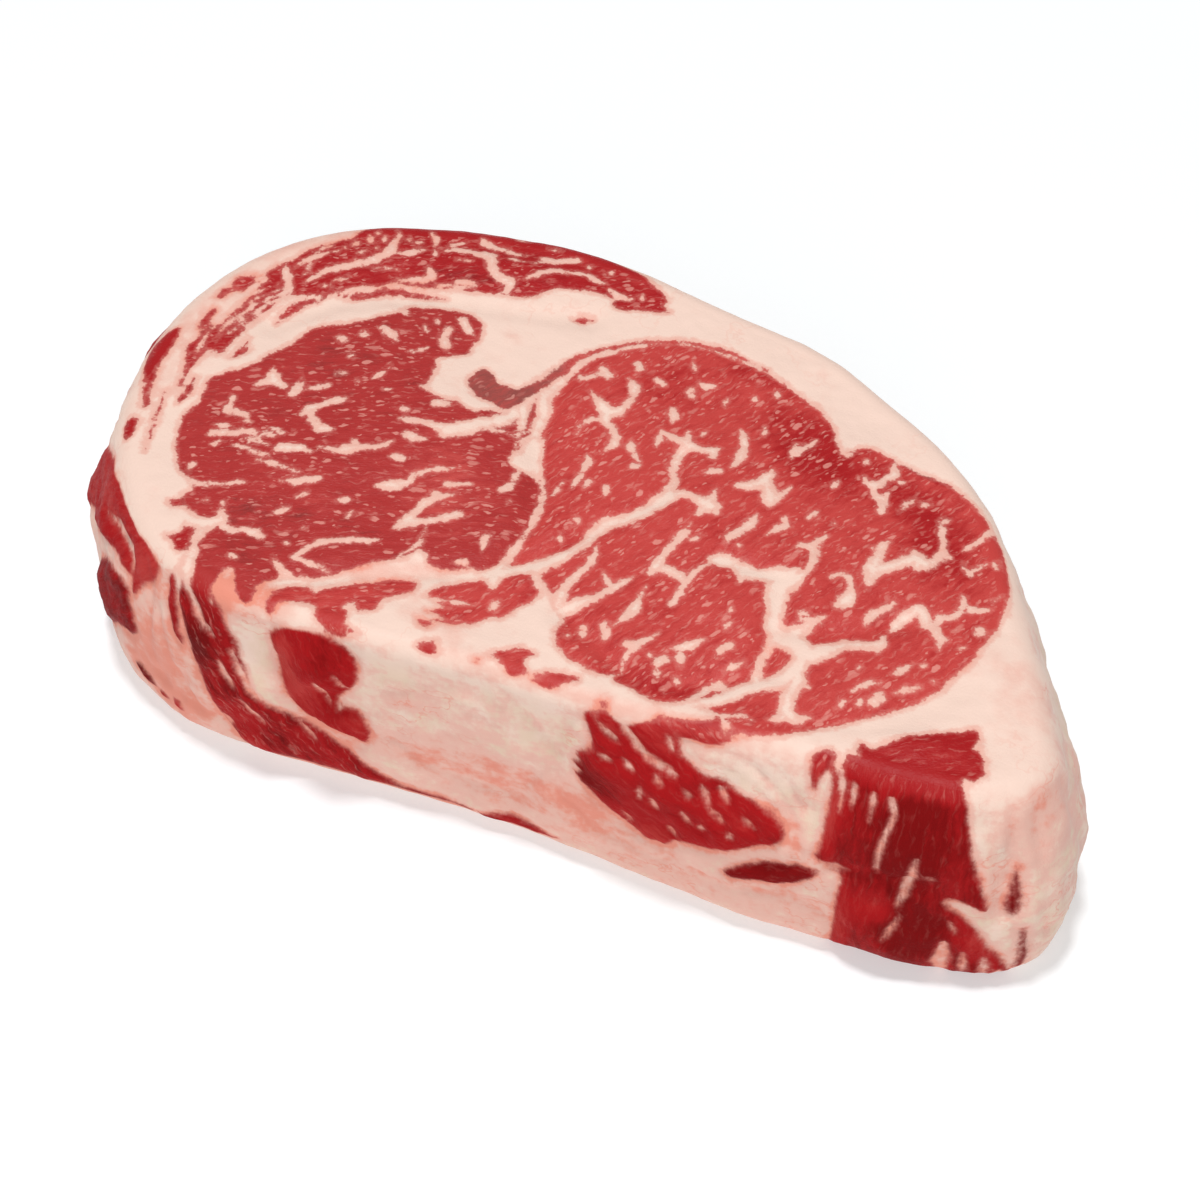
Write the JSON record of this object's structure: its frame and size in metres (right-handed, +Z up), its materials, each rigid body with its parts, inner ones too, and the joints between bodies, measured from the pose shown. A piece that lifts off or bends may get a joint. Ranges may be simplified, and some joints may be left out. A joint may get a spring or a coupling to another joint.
{
  "type": "raw ribeye steak",
  "caption": "Thick-cut raw boneless ribeye steak with marbled lean, broad fat seams and a fat rim, lying flat on its lower cut face.",
  "frame": {"origin": "under the middle of the bounding box, on the plane of the lower cut face", "axes": "+X along the steak's long side towards its fat-covered narrow end, +Z up through its thickness"},
  "size_m": [0.203, 0.116, 0.0461],
  "materials": {
    "meat": "moist raw beef with pale cream fat"
  },
  "bodies": {
    "root": {"steak": "meat"}
  },
  "joints": []
}
